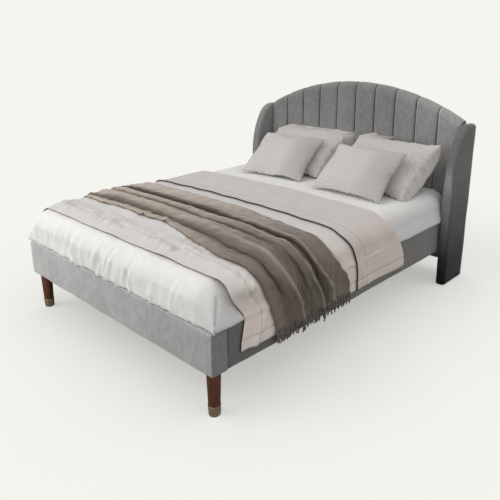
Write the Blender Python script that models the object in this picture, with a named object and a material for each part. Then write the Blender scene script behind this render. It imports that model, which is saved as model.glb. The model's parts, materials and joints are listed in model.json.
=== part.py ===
"""Upholstered wing bed: an arched headboard of ten upright channels between two
floor-length wings, a low padded frame on two turned front legs, a slatted deck on
a centre beam, and the mattress with its bedding.

Metres, +Z up. The foot of the bed faces -Y and the headboard stands at +Y. The
origin is on the floor, at the middle of the bed's length and width.
"""

import math

import bmesh
import bpy
from mathutils import Euler, Matrix, Vector

# Driving dimensions
BED_LENGTH = 2.200          # back of the wings to the front of the foot rail
FRAME_WIDTH = 1.600         # outside of one side rail to the outside of the other
WING_THICKNESS = 0.065
WING_HEIGHT = 1.040
ARCH_TOP = 1.254            # crown of the headboard
ARCH_SPRING = 1.052         # where the arch meets the wings
RAIL_BOTTOM = 0.220
RAIL_TOP = 0.420
RAIL_THICKNESS = 0.040
CORNER_RETURN = 0.091       # length of the foot rail's turned-back ends
LEG_INSET = 0.052           # front leg's axis from the rail's outer faces
FERRULE_HEIGHT = 0.050
CHANNEL_COUNT = 10
SLAT_COUNT = 10
GAP = 0.0003                # clearance between touching pieces

# Places that follow from them
BACK = BED_LENGTH / 2
FOOT = -BED_LENGTH / 2
HALF_FRAME = FRAME_WIDTH / 2
HALF_INNER = HALF_FRAME - RAIL_THICKNESS
WING_INNER = HALF_FRAME + 0.005
LEFT, RIGHT = -1, 1
SIDES = (("left", LEFT), ("right", RIGHT))

# Headboard layers, measured forwards from the back plane
BACK_PANEL_INSET = 0.001
BACK_PANEL_THICKNESS = 0.005
CORE_BACK = BACK - BACK_PANEL_INSET - BACK_PANEL_THICKNESS - GAP
CORE_THICKNESS = 0.038
CORE_FRONT = CORE_BACK - CORE_THICKNESS
CORE_BOTTOM = 0.095
CHANNEL_BACK = CORE_FRONT - GAP
CHANNEL_VALLEY = 0.026      # pad depth at a seam
CHANNEL_CROWN = 0.050       # pad depth at the middle of a channel
CHANNEL_BOTTOM = RAIL_TOP + 0.006

# Deck
LEDGER_TOP = 0.345
LEDGER_HEIGHT = 0.020
LEDGER_WIDTH = 0.024
SLAT_THICKNESS = 0.018
SLAT_WIDTH = 0.090
SLAT_TOP = LEDGER_TOP + GAP + SLAT_THICKNESS
BEAM_SIZE = 0.060
CLEAT_THICKNESS = 0.030
CENTRE_LEG_SIZE = 0.045
CENTRE_LEG_BOTTOM = 0.028
CENTRE_LEG_Y = (("front", -0.360), ("rear", 0.360))

# Fasteners
BOLT_RADIUS = 0.004
BOLT_HOLE_RADIUS = 0.0044
BOLT_HEAD_RADIUS = 0.0068
BOLT_HEAD_HEIGHT = 0.005
BRACKET_THICKNESS = 0.003
BRACKET_BOTTOM = 0.235
HEAD_BOLT_HEIGHTS = (("lower", 0.258), ("upper", 0.302))
HEAD_BOLT_X = 0.715
BLOCK_INNER_X = 0.690
BLOCK_END_Y = -0.930
FOOT_BOLT_Y = -0.965
FOOT_BOLT_Z = 0.270
LEG_BOLT_BOTTOM = 0.160
LEG_BOLT_TOP = 0.290

# Bedding
MATTRESS_TOP = 0.612
MATTRESS_OVERHANG = 0.788   # half width of the part above the rails
DUVET_THICKNESS = 0.010
THROW_THICKNESS = 0.016
DUVET_HEM = 0.280
THROW_HEM = 0.250           # ends of the fringe


def clear_scene():
    for obj in list(bpy.data.objects):
        bpy.data.objects.remove(obj, do_unlink=True)


def make_material(name, colour, roughness, metallic=0.0):
    material = bpy.data.materials.new(name)
    material.use_nodes = True
    shader = material.node_tree.nodes["Principled BSDF"]
    shader.inputs["Base Color"].default_value = (*colour, 1.0)
    shader.inputs["Roughness"].default_value = roughness
    shader.inputs["Metallic"].default_value = metallic
    return material


def finish(name, bm, material, location=(0, 0, 0), rotation=(0, 0, 0), smooth_angle=None):
    """Closes a bmesh into a named object at its place."""
    bmesh.ops.recalc_face_normals(bm, faces=bm.faces)
    mesh = bpy.data.meshes.new(name)
    bm.to_mesh(mesh)
    bm.free()
    mesh.materials.append(material)
    if smooth_angle is not None:
        mesh.shade_smooth()
        mesh.set_sharp_from_angle(angle=math.radians(smooth_angle))
    obj = bpy.data.objects.new(name, mesh)
    bpy.context.scene.collection.objects.link(obj)
    obj.location = location
    obj.rotation_euler = rotation
    return obj


def box(name, low, high, material, round_by=0.0, segments=2):
    """A block between two corners, its origin at its middle, with rounded edges."""
    low, high = Vector(low), Vector(high)
    bm = bmesh.new()
    bmesh.ops.create_cube(bm, size=1.0)
    bmesh.ops.scale(bm, vec=high - low, verts=bm.verts)
    if round_by:
        bmesh.ops.bevel(bm, geom=bm.edges, offset=round_by, segments=segments,
                        profile=0.5, affect="EDGES", material=-1)
    return finish(name, bm, material, (low + high) / 2, smooth_angle=40)


def prism(name, outline, depth, material, location, round_by=0.0, segments=2):
    """A flat outline pushed through by the depth vector, with its rim rounded."""
    bm = bmesh.new()
    face = bm.faces.new([bm.verts.new(point) for point in outline])
    pushed = bmesh.ops.extrude_face_region(bm, geom=[face])
    moved = [part for part in pushed["geom"] if isinstance(part, bmesh.types.BMVert)]
    bmesh.ops.translate(bm, vec=depth, verts=moved)
    bmesh.ops.recalc_face_normals(bm, faces=bm.faces)
    if round_by:
        rim = [edge for edge in bm.edges if edge.calc_face_angle_signed(0) > math.radians(60)]
        bmesh.ops.bevel(bm, geom=rim, offset=round_by, segments=segments,
                        profile=0.5, affect="EDGES", material=-1)
    return finish(name, bm, material, location, smooth_angle=40)


def turned(name, profile, material, location, steps=20):
    """A closed profile of (radius, height) points spun about the vertical."""
    bm = bmesh.new()
    points = [bm.verts.new((radius, 0, height)) for radius, height in profile]
    edges = [bm.edges.new(pair) for pair in zip(points, points[1:])]
    bmesh.ops.spin(bm, geom=points + edges, cent=(0, 0, 0), axis=(0, 0, 1),
                   angle=math.tau, steps=steps, use_merge=True)
    bmesh.ops.remove_doubles(bm, verts=bm.verts, dist=1e-6)
    return finish(name, bm, material, location, smooth_angle=35)


def rod(bm, radius, start, end, sides=12):
    """Adds a capped rod between two points on one line along a main axis."""
    start, end = Vector(start), Vector(end)
    turn = Vector((0, 0, 1)).rotation_difference(end - start).to_matrix().to_4x4()
    place = Matrix.Translation((start + end) / 2) @ turn
    bmesh.ops.create_cone(bm, cap_ends=True, segments=sides, radius1=radius, radius2=radius,
                          depth=(end - start).length, matrix=place)


def cut_hole(targets, start, end):
    """Bores a bolt hole between two points through each target."""
    bm = bmesh.new()
    rod(bm, BOLT_HOLE_RADIUS, start, end)
    cutter = finish(f"{targets[0].name}_drill", bm, targets[0].data.materials[0])
    cutter.hide_render = True
    cutter.display_type = "WIRE"
    for target in targets:
        modifier = target.modifiers.new("bolt_hole", "BOOLEAN")
        modifier.operation = "DIFFERENCE"
        modifier.object = cutter


def arch_height(x):
    """Height of the headboard's round top at a distance x from the middle."""
    rise = ARCH_TOP - ARCH_SPRING
    radius = (WING_INNER ** 2 + rise ** 2) / (2 * rise)
    return ARCH_TOP - radius + math.sqrt(radius ** 2 - x ** 2)


def arch_outline(half_width, bottom, drop, steps=20):
    """Outline of an arched panel in the XZ plane, its top lowered by drop."""
    top = [half_width * (1 - 2 * step / steps) for step in range(steps + 1)]
    arch = [(x, 0, arch_height(x) - drop) for x in top]
    return [(-half_width, 0, bottom), (half_width, 0, bottom)] + arch


# Headboard

def make_headboard_core(velvet):
    outline = arch_outline(WING_INNER - 2 * GAP, CORE_BOTTOM, 0.004)
    return prism("headboard_core", outline, (0, CORE_THICKNESS, 0), velvet,
                 (0, CORE_FRONT, 0), round_by=0.010)


def make_headboard_back_panel(velvet):
    outline = arch_outline(WING_INNER - 0.012, CORE_BOTTOM + 0.012, 0.016)
    return prism("headboard_back_panel", outline, (0, BACK_PANEL_THICKNESS, 0), velvet,
                 (0, BACK - BACK_PANEL_INSET - BACK_PANEL_THICKNESS, 0))


def make_channel(number, velvet):
    """One upright foam channel: a bulged section that rounds over at the arch."""
    pitch = 2 * (WING_INNER - GAP) / CHANNEL_COUNT
    middle = -WING_INNER + GAP + pitch * (number + 0.5)
    half = pitch / 2 - GAP
    steps = 6
    section = [(half, 0.0)]
    for step in range(steps + 1):
        share = 1 - 2 * step / steps
        depth = CHANNEL_VALLEY + (CHANNEL_CROWN - CHANNEL_VALLEY) * math.sqrt(1 - share ** 2)
        section.append((half * share, -depth))
    section.append((-half, 0.0))
    bm = bmesh.new()
    rings = [[bm.verts.new((x, y, 0)) for x, y in section]]
    # The rounded top: share of the depth left, at a height below the arch
    for share, below in ((1.0, 0.030), (0.88, 0.010), (0.55, 0.0)):
        rings.append([bm.verts.new((x, y * share, arch_height(middle + x) - CHANNEL_BOTTOM - below))
                      for x, y in section])
    for lower, upper in zip(rings, rings[1:]):
        for index in range(len(section)):
            following = (index + 1) % len(section)
            bm.faces.new((lower[index], lower[following], upper[following], upper[index]))
    bm.faces.new(rings[0])
    bm.faces.new(rings[-1])
    return finish(f"headboard_channel_{number + 1:02d}", bm, velvet,
                  (middle, CHANNEL_BACK, CHANNEL_BOTTOM), smooth_angle=50)


def make_wing(side_name, side, velvet):
    """A floor-length side panel: straight below, swept back to a narrow top."""
    glide = 0.006 + GAP
    front_bottom, front, top_depth = 0.255, 0.272, 0.055
    shoulder = 0.580
    steps = 10
    outline = [(0, BACK, glide), (0, BACK - front_bottom, glide)]
    for step in range(steps + 1):
        angle = math.pi / 2 * step / steps
        depth = top_depth + (front - top_depth) * math.cos(angle) ** 0.9
        height = shoulder + (WING_HEIGHT - shoulder) * math.sin(angle) ** 0.9
        outline.append((0, BACK - depth, height))
    outline.append((0, BACK, WING_HEIGHT - 0.004))
    start = WING_INNER if side == RIGHT else -WING_INNER - WING_THICKNESS
    wing = prism(f"wing_{side_name}", outline, (WING_THICKNESS, 0, 0), velvet,
                 (start, 0, 0), round_by=0.016)
    middle = side * (WING_INNER + WING_THICKNESS / 2)
    box(f"wing_glide_{side_name}", (middle - 0.014, BACK - 0.225, 0),
        (middle + 0.014, BACK - 0.030, 0.006), NYLON, round_by=0.0015, segments=1)
    return wing


# Frame

def make_foot_rail(velvet):
    """The foot board with its two short turned-back ends."""
    outer, inner = HALF_FRAME, HALF_INNER
    outline = [(-outer, 0, 0), (outer, 0, 0), (outer, CORNER_RETURN, 0),
               (inner, CORNER_RETURN, 0), (inner, RAIL_THICKNESS, 0),
               (-inner, RAIL_THICKNESS, 0), (-inner, CORNER_RETURN, 0),
               (-outer, CORNER_RETURN, 0)]
    return prism("foot_rail", outline, (0, 0, RAIL_TOP - RAIL_BOTTOM), velvet,
                 (0, FOOT, RAIL_BOTTOM), round_by=0.007)


def make_side_rail(side_name, side, velvet):
    ends = sorted((side * HALF_FRAME, side * HALF_INNER))
    return box(f"side_rail_{side_name}",
               (ends[0], FOOT + CORNER_RETURN + GAP, RAIL_BOTTOM),
               (ends[1], CORE_FRONT - GAP, RAIL_TOP), velvet, round_by=0.007)


def make_ledger(side_name, side, pine):
    ends = sorted((side * (HALF_INNER - GAP), side * (HALF_INNER - GAP - LEDGER_WIDTH)))
    return box(f"slat_ledger_{side_name}",
               (ends[0], FOOT + RAIL_THICKNESS + GAP, LEDGER_TOP - LEDGER_HEIGHT),
               (ends[1], CORE_FRONT - CLEAT_THICKNESS - 2 * GAP, LEDGER_TOP), pine,
               round_by=0.0015, segments=1)


def make_head_cleat(pine):
    half = HEAD_BOLT_X - 0.055
    return box("head_cleat", (-half, CORE_FRONT - GAP - CLEAT_THICKNESS, LEDGER_TOP - BEAM_SIZE),
               (half, CORE_FRONT - GAP, LEDGER_TOP), pine, round_by=0.0015, segments=1)


def make_centre_beam(pine):
    half = BEAM_SIZE / 2
    return box("centre_beam", (-half, FOOT + RAIL_THICKNESS + GAP, LEDGER_TOP - BEAM_SIZE),
               (half, CORE_FRONT - CLEAT_THICKNESS - 2 * GAP, LEDGER_TOP), pine,
               round_by=0.002, segments=1)


def make_slats(pine):
    first = FOOT + RAIL_THICKNESS + 0.006 + SLAT_WIDTH / 2
    last = CORE_FRONT - 0.020 - SLAT_WIDTH / 2
    half = HALF_INNER - 0.006
    for number in range(SLAT_COUNT):
        middle = first + (last - first) * number / (SLAT_COUNT - 1)
        box(f"slat_{number + 1:02d}", (-half, middle - SLAT_WIDTH / 2, SLAT_TOP - SLAT_THICKNESS),
            (half, middle + SLAT_WIDTH / 2, SLAT_TOP), pine, round_by=0.002, segments=1)


def make_centre_leg(end_name, y, pine, steel):
    """A post under the beam, bored for the stem of its levelling foot."""
    half = CENTRE_LEG_SIZE / 2
    leg = box(f"centre_leg_{end_name}", (-half, y - half, CENTRE_LEG_BOTTOM),
              (half, y + half, LEDGER_TOP - BEAM_SIZE - GAP), pine, round_by=0.002, segments=1)
    cut_hole([leg], (0, y, 0), (0, y, 0.105))
    collar_top = CENTRE_LEG_BOTTOM - GAP
    profile = [(0, 0), (0.020, 0), (0.022, 0.002), (0.022, 0.008), (0.012, 0.011),
               (0.009, 0.011), (0.009, collar_top), (BOLT_RADIUS, collar_top),
               (BOLT_RADIUS, 0.085), (0, 0.085)]
    turned(f"levelling_foot_{end_name}", profile, steel, (0, y, 0), steps=16)


def make_front_leg(side_name, side, walnut, brass, steel, pine):
    """A tapered round leg in a brass cup, bolted up into the corner block."""
    x, y = side * (HALF_FRAME - LEG_INSET), FOOT + LEG_INSET
    cup_floor = 0.002
    cup_wall = 0.0012
    foot_radius, top_radius = 0.0262, 0.0330
    top = RAIL_BOTTOM - GAP

    def leg_radius(height):
        return foot_radius + (top_radius - foot_radius) * height / top

    leg_profile = [(0, cup_floor + GAP), (leg_radius(0) - 0.001, cup_floor + GAP),
                   (leg_radius(0.004), 0.004), (leg_radius(FERRULE_HEIGHT), FERRULE_HEIGHT),
                   (top_radius, top), (0, top)]
    leg = turned(f"front_leg_{side_name}", leg_profile, walnut, (x, y, 0), steps=24)
    clearance = 0.0005
    wall = [(leg_radius(height) + clearance, height) for height in (0.004, FERRULE_HEIGHT)]
    cup_profile = [(0, 0), (wall[0][0] + cup_wall - 0.001, 0), (wall[0][0] + cup_wall, 0.002),
                   (wall[1][0] + cup_wall, FERRULE_HEIGHT), (wall[1][0], FERRULE_HEIGHT),
                   (wall[0][0], 0.004), (wall[0][0] - 0.001, cup_floor), (0, cup_floor)]
    turned(f"leg_ferrule_{side_name}", cup_profile, brass, (x, y, 0), steps=24)

    ends = sorted((side * BLOCK_INNER_X, side * (HALF_INNER - GAP)))
    block = box(f"corner_block_{side_name}",
                (ends[0], FOOT + RAIL_THICKNESS + GAP, RAIL_BOTTOM),
                (ends[1], BLOCK_END_Y, LEDGER_TOP - LEDGER_HEIGHT - GAP), pine,
                round_by=0.0015, segments=1)
    cut_hole([leg, block], (x, y, LEG_BOLT_BOTTOM - 0.002), (x, y, LEG_BOLT_TOP + 0.002))
    bm = bmesh.new()
    length = LEG_BOLT_TOP - LEG_BOLT_BOTTOM
    rod(bm, BOLT_RADIUS, (0, 0, 0), (0, 0, length))
    finish(f"leg_bolt_{side_name}", bm, steel, (x, y, LEG_BOLT_BOTTOM), smooth_angle=40)
    return block


def make_bolt(name, place, direction, length, steel):
    """A bolt whose head rests on place and whose shank runs along direction."""
    profile = [(0, -BOLT_HEAD_HEIGHT), (BOLT_HEAD_RADIUS - 0.001, -BOLT_HEAD_HEIGHT),
               (BOLT_HEAD_RADIUS, 0.001 - BOLT_HEAD_HEIGHT), (BOLT_HEAD_RADIUS, -GAP),
               (BOLT_RADIUS, -GAP), (BOLT_RADIUS, length), (0, length)]
    bolt = turned(name, profile, steel, place, steps=12)
    turn = Vector((0, 0, 1)).rotation_difference(Vector(direction))
    bolt.rotation_euler = turn.to_euler()
    return bolt


def make_head_bracket(side_name, side, core, steel):
    """A steel angle that joins a side rail to the headboard, with its two bolts."""
    rail_face = HALF_INNER - GAP
    flange = CORE_FRONT - GAP
    inner = HEAD_BOLT_X - 0.035
    outline = [(side * x, y, 0) for x, y in (
        (inner, flange), (rail_face, flange), (rail_face, flange - 0.075),
        (rail_face - BRACKET_THICKNESS, flange - 0.075),
        (rail_face - BRACKET_THICKNESS, flange - BRACKET_THICKNESS),
        (inner, flange - BRACKET_THICKNESS))]
    top = LEDGER_TOP - LEDGER_HEIGHT - GAP
    bracket = prism(f"head_bracket_{side_name}", outline, (0, 0, top - BRACKET_BOTTOM), steel,
                    (0, 0, BRACKET_BOTTOM))
    for bolt_name, z in HEAD_BOLT_HEIGHTS:
        x = side * HEAD_BOLT_X
        cut_hole([bracket, core], (x, flange - 0.010, z), (x, CORE_BACK + 0.010, z))
        make_bolt(f"head_bolt_{side_name}_{bolt_name}", (x, flange - BRACKET_THICKNESS, z),
                  (0, 1, 0), BRACKET_THICKNESS + CORE_THICKNESS - 0.002, steel)


def make_foot_bolt(side_name, side, block, rail, steel):
    """The bolt through the corner block into the side rail."""
    start = (side * BLOCK_INNER_X, FOOT_BOLT_Y, FOOT_BOLT_Z)
    length = HALF_FRAME - 0.012 - BLOCK_INNER_X
    cut_hole([block, rail], (side * (BLOCK_INNER_X - 0.010), FOOT_BOLT_Y, FOOT_BOLT_Z),
             (side * (BLOCK_INNER_X + length + 0.002), FOOT_BOLT_Y, FOOT_BOLT_Z))
    make_bolt(f"foot_bolt_{side_name}", start, (side, 0, 0), length, steel)


# Bedding

def make_mattress(cotton):
    """A block that sits between the rails and swells out over them."""
    foot, head = FOOT + RAIL_THICKNESS + 0.004, CHANNEL_BACK - CHANNEL_CROWN - 0.006
    lower = box("mattress", (-HALF_INNER + 0.006, foot, SLAT_TOP + GAP),
                (HALF_INNER - 0.006, head, 0.500), cotton, round_by=0.030)
    upper = box("mattress_upper", (-MATTRESS_OVERHANG, FOOT + 0.008, RAIL_TOP + 0.004),
                (MATTRESS_OVERHANG, head, MATTRESS_TOP), cotton, round_by=0.055, segments=4)
    upper.hide_render = True
    upper.display_type = "WIRE"
    join = lower.modifiers.new("overhang", "BOOLEAN")
    join.operation = "UNION"
    join.object = upper
    return lower


def drape(name, material, inside, thickness, top, hem, radius, foot_edge, head_edge):
    """A sheet laid over the bed, hanging down both sides to its hem.

    inside is the half width of the space under it, and foot_edge and head_edge give
    the y of its two ends at a height z.
    """
    arc_steps = 5

    def side_profile(offset):
        middle = inside - radius
        points = [(inside + offset, hem)]
        for step in range(arc_steps + 1):
            angle = math.pi / 2 * step / arc_steps
            reach = radius + offset
            points.append((middle + reach * math.cos(angle), top - radius + reach * math.sin(angle)))
        return points

    outer, inner = side_profile(thickness), side_profile(0.0)
    loop = outer + [(-x, z) for x, z in reversed(outer)]
    loop += [(-x, z) for x, z in inner] + list(reversed(inner))
    bm = bmesh.new()
    near = [bm.verts.new((x, foot_edge(z), z)) for x, z in loop]
    far = [bm.verts.new((x, head_edge(z), z)) for x, z in loop]
    count = len(loop)
    for index in range(count):
        following = (index + 1) % count
        bm.faces.new((near[index], near[following], far[following], far[index]))
    half = count // 2
    for ring in (near, far):
        for index in range(half - 1):
            bm.faces.new((ring[index], ring[index + 1], ring[count - 2 - index],
                          ring[count - 1 - index]))
    return finish(name, bm, material, smooth_angle=40)


def ramp(low_z, low_value, high_z, high_value):
    """A function of height that runs straight between two values and is level beyond."""
    def at(z):
        share = min(1.0, max(0.0, (z - low_z) / (high_z - low_z)))
        return low_value + (high_value - low_value) * share
    return at


def make_duvet(cotton):
    foot_edge = ramp(0.40, -0.930, 0.61, -1.015)
    head_edge = ramp(0.28, 0.370, 0.61, 0.180)
    return drape("duvet", cotton, HALF_FRAME + 0.003, DUVET_THICKNESS,
                 MATTRESS_TOP + 0.003, DUVET_HEM, 0.068, foot_edge, head_edge)


def make_throw(velvet):
    foot_edge = ramp(0.36, -0.770, 0.61, -0.735)
    head_edge = ramp(0.30, -0.170, 0.61, -0.235)
    inside = HALF_FRAME + 0.003 + DUVET_THICKNESS + 0.001
    return drape("throw", velvet, inside, THROW_THICKNESS,
                 MATTRESS_TOP + 0.003 + DUVET_THICKNESS + 0.001, THROW_HEM, 0.078,
                 foot_edge, head_edge)


def make_pillow(name, material, width, height, thickness, location, tilt, turn):
    """A stuffed case: full in the middle, pinched to a thin seam with pulled-in sides."""
    bm = bmesh.new()
    bmesh.ops.create_cube(bm, size=2.0)
    bmesh.ops.subdivide_edges(bm, edges=bm.edges, cuts=4, use_grid_fill=True)
    seam = 0.014
    for vert in bm.verts:
        u, v, w = vert.co
        fullness = ((1 - abs(u) ** 3.2) * (1 - abs(v) ** 2.6)) ** 0.55
        vert.co.x = width / 2 * u * (1 - 0.055 * (1 - v * v) * abs(u))
        vert.co.y = height / 2 * v * (1 - 0.070 * (1 - u * u) * abs(v))
        vert.co.z = w * (seam + (thickness - seam) * fullness) / 2
    return finish(name, bm, material, location,
                  Euler((math.radians(tilt), 0, math.radians(turn)), "XYZ"), smooth_angle=60)


clear_scene()
VELVET = make_material("grey_velvet", (0.16, 0.155, 0.15), 0.85)
WALNUT = make_material("walnut", (0.07, 0.025, 0.014), 0.45)
BRASS = make_material("aged_brass", (0.33, 0.24, 0.15), 0.4, 1.0)
STEEL = make_material("zinc_steel", (0.55, 0.55, 0.56), 0.35, 1.0)
PINE = make_material("pine", (0.55, 0.40, 0.24), 0.6)
SHEET = make_material("white_cotton", (0.80, 0.79, 0.77), 0.9)
QUILT = make_material("greige_sateen", (0.58, 0.52, 0.49), 0.6)
PLUSH = make_material("taupe_plush", (0.20, 0.155, 0.125), 0.85)
RIBBED = make_material("ribbed_cotton", (0.60, 0.57, 0.56), 0.9)
LINEN = make_material("linen", (0.66, 0.63, 0.60), 0.9)
NYLON = make_material("black_nylon", (0.02, 0.02, 0.02), 0.5)

headboard_core = make_headboard_core(VELVET)
make_headboard_back_panel(VELVET)
for channel_number in range(CHANNEL_COUNT):
    make_channel(channel_number, VELVET)
make_foot_rail(VELVET)
make_head_cleat(PINE)
make_centre_beam(PINE)
make_slats(PINE)
for end, end_y in CENTRE_LEG_Y:
    make_centre_leg(end, end_y, PINE, STEEL)
for side_word, side_sign in SIDES:
    make_wing(side_word, side_sign, VELVET)
    side_rail = make_side_rail(side_word, side_sign, VELVET)
    make_ledger(side_word, side_sign, PINE)
    corner_block = make_front_leg(side_word, side_sign, WALNUT, BRASS, STEEL, PINE)
    make_foot_bolt(side_word, side_sign, corner_block, side_rail, STEEL)
    make_head_bracket(side_word, side_sign, headboard_core, STEEL)
make_mattress(SHEET)
make_duvet(QUILT)
make_throw(PLUSH)
make_pillow("pillow_left", LINEN, 0.66, 0.49, 0.150, (-0.325, 0.790, 0.7593), 35, 3)
make_pillow("pillow_right", LINEN, 0.68, 0.49, 0.160, (0.400, 0.770, 0.7593), 35, -5)
make_pillow("cushion_left", RIBBED, 0.54, 0.37, 0.115, (-0.285, 0.566, 0.7443), 43, 8)
make_pillow("cushion_right", RIBBED, 0.56, 0.37, 0.120, (0.345, 0.5425, 0.7443), 43, -4)
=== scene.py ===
import json
import math
import random

import bmesh
import bpy
import numpy as np
from mathutils import Matrix, Vector, noise
from mathutils.bvhtree import BVHTree

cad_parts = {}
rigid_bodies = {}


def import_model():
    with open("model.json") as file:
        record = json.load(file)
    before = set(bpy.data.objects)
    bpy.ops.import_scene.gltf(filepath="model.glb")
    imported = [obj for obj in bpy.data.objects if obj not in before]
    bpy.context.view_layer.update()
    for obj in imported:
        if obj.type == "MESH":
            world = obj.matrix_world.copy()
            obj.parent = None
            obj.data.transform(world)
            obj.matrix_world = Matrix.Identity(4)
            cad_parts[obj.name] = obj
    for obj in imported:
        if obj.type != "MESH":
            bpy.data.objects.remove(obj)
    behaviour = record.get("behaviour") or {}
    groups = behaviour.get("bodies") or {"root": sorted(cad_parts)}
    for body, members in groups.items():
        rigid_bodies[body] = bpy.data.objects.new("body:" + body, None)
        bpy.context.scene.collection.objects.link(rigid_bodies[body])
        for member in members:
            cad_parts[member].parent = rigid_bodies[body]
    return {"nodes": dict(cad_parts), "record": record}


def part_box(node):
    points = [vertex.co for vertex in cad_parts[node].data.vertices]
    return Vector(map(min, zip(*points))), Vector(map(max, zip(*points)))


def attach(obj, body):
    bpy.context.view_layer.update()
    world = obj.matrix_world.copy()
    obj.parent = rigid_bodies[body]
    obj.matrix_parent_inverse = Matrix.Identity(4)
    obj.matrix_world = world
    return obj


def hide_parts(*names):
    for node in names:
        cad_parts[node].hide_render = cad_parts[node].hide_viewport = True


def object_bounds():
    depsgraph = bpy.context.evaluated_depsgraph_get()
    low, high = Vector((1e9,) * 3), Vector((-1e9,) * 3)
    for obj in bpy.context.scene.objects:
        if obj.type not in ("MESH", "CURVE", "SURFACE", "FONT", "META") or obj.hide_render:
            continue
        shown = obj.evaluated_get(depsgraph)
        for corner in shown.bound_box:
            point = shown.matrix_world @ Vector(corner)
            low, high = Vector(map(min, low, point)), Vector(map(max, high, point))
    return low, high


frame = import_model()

cad_low, cad_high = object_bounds()
LEFT, RIGHT = ("left", -1), ("right", 1)


# ---- Studio -------------------------------------------------------------------------
# A pale floor under a large soft key light from the foot and left of the bed, with a
# weak fill from the right, seen from a standing person's eye height.

camera = bpy.data.objects.new("camera", bpy.data.cameras.new("camera"))
bpy.context.scene.collection.objects.link(camera)
camera.location = (2.3425, -2.4314, 1.5878)
camera.rotation_euler = (math.radians(90 - 16.41), 0, math.radians(43.46))
camera.data.lens = 40.78
camera.data.sensor_width = 36
camera.data.shift_x = -0.024
camera.data.shift_y = -0.100
bpy.context.scene.camera = camera
bpy.context.scene.view_settings.view_transform = "Standard"


def make_material(name, colour, roughness, **sockets):
    """A Principled material whose even values sit on the shader's own sockets."""
    material = bpy.data.materials.new(name)
    material.use_nodes = True
    shader = material.node_tree.nodes["Principled BSDF"]
    shader.inputs["Base Color"].default_value = (*colour, 1)
    shader.inputs["Roughness"].default_value = roughness
    for socket, value in sockets.items():
        shader.inputs[socket.replace("_", " ")].default_value = value
    return material


def add_node(material, kind, settings=None, **inputs):
    """Adds a node, sets its options and its inputs, and returns its outputs.

    An input may be another node's output, and _0 is the node's first input.
    """
    made = material.node_tree.nodes.new("ShaderNode" + kind)
    for option, value in (settings or {}).items():
        setattr(made, option, value)
    for socket, value in inputs.items():
        target = made.inputs[int(socket[1:]) if socket[1:].isdigit() else socket.replace("_", " ")]
        if isinstance(value, bpy.types.NodeSocket):
            material.node_tree.links.new(value, target)
        else:
            target.default_value = value
    return made.outputs


def wire(material, output, socket):
    shader = material.node_tree.nodes["Principled BSDF"]
    material.node_tree.links.new(output, shader.inputs[socket])


floor_bm = bmesh.new()
bmesh.ops.create_circle(floor_bm, cap_ends=True, segments=96, radius=60)
floor_mesh = bpy.data.meshes.new("floor")
floor_bm.to_mesh(floor_mesh)
floor_bm.free()
paper = make_material("pale_floor", (0.65, 0.65, 0.625), 0.95, Specular_IOR_Level=0.0,
                      Emission_Color=(1, 1, 0.965, 1))
seen_directly = add_node(paper, "LightPath")["Is Camera Ray"]
wire(paper, add_node(paper, "Mix", {"data_type": "RGBA"}, _0=seen_directly, _6=(0.22, 0.22, 0.215, 1),
                     _7=(0.65, 0.65, 0.625, 1))[2], "Base Color")
glow = add_node(paper, "Math", {"operation": "MULTIPLY"}, _0=seen_directly, _1=0.40)["Value"]
wire(paper, glow, "Emission Strength")
floor_mesh.materials.append(paper)
floor = bpy.data.objects.new("floor", floor_mesh)
bpy.context.scene.collection.objects.link(floor)

world = bpy.data.worlds.new("studio")
bpy.context.scene.world = world
world.use_nodes = True
sky = world.node_tree
brightest = Vector((0.85, -0.25, 0.10)).normalized()
facing = add_node(world, "VectorMath", {"operation": "DOT_PRODUCT"},
                  _0=add_node(world, "TexCoord")["Generated"], _1=brightest)["Value"]
level = add_node(world, "MapRange", Value=facing, _1=-1.0, _2=1.0, _3=0.52, _4=0.84)["Result"]
shines = add_node(world, "Background", Color=(1, 0.995, 0.985, 1), Strength=level)["Background"]
seen = add_node(world, "Background", Color=(0.905, 0.905, 0.870, 1))["Background"]
either = add_node(world, "MixShader", _0=add_node(world, "LightPath")["Is Camera Ray"],
                  _1=shines, _2=seen)["Shader"]
sky.links.new(either, sky.nodes["World Output"].inputs["Surface"])

sun = bpy.data.objects.new("key", bpy.data.lights.new("key", "SUN"))
bpy.context.scene.collection.objects.link(sun)
sun.data.energy = 0.5
sun.data.angle = math.radians(35)
sun.data.color = (1, 0.99, 0.97)
sun.rotation_euler = Vector((-0.50, -0.72, 0.78)).to_track_quat("Z", "Y").to_euler()

# A soft box low by the foot lights the bed alone, so that the floor stays even.
lamp_place, lamp_aim = Vector((-1.6, -3.2, 1.2)), Vector((0, -1.1, 0.4))
lamp = bpy.data.objects.new("foot_light", bpy.data.lights.new("foot_light", "AREA"))
bpy.context.scene.collection.objects.link(lamp)
lamp.data.shape, lamp.data.size, lamp.data.energy = "DISK", 1.3, 22
lamp.location = lamp_place
lamp.rotation_euler = (lamp_place - lamp_aim).to_track_quat("Z", "Y").to_euler()
kept_dark = bpy.data.collections.new("kept_dark")
kept_dark.objects.link(floor)
lamp.light_linking.receiver_collection = kept_dark
kept_dark.collection_objects[0].light_linking.link_state = "EXCLUDE"


# ---- Turned legs --------------------------------------------------------------------
# Each front leg is a walnut taper turned on a lathe, stained dark red-brown. Its foot
# stands in a cup of antiqued brass, spun and then lightly hammered.

def make_piece(name, bm, body, material, slot, *nodes):
    """Makes a piece of a bmesh, riding on a body and standing for its CAD nodes."""
    mesh = bpy.data.meshes.new(name)
    bm.to_mesh(mesh)
    bm.free()
    mesh.materials.append(material)
    mesh.shade_smooth()
    made = bpy.data.objects.new(name, mesh)
    bpy.context.scene.collection.objects.link(made)
    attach(made, body)
    if nodes:
        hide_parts(*nodes)
    return made


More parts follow.
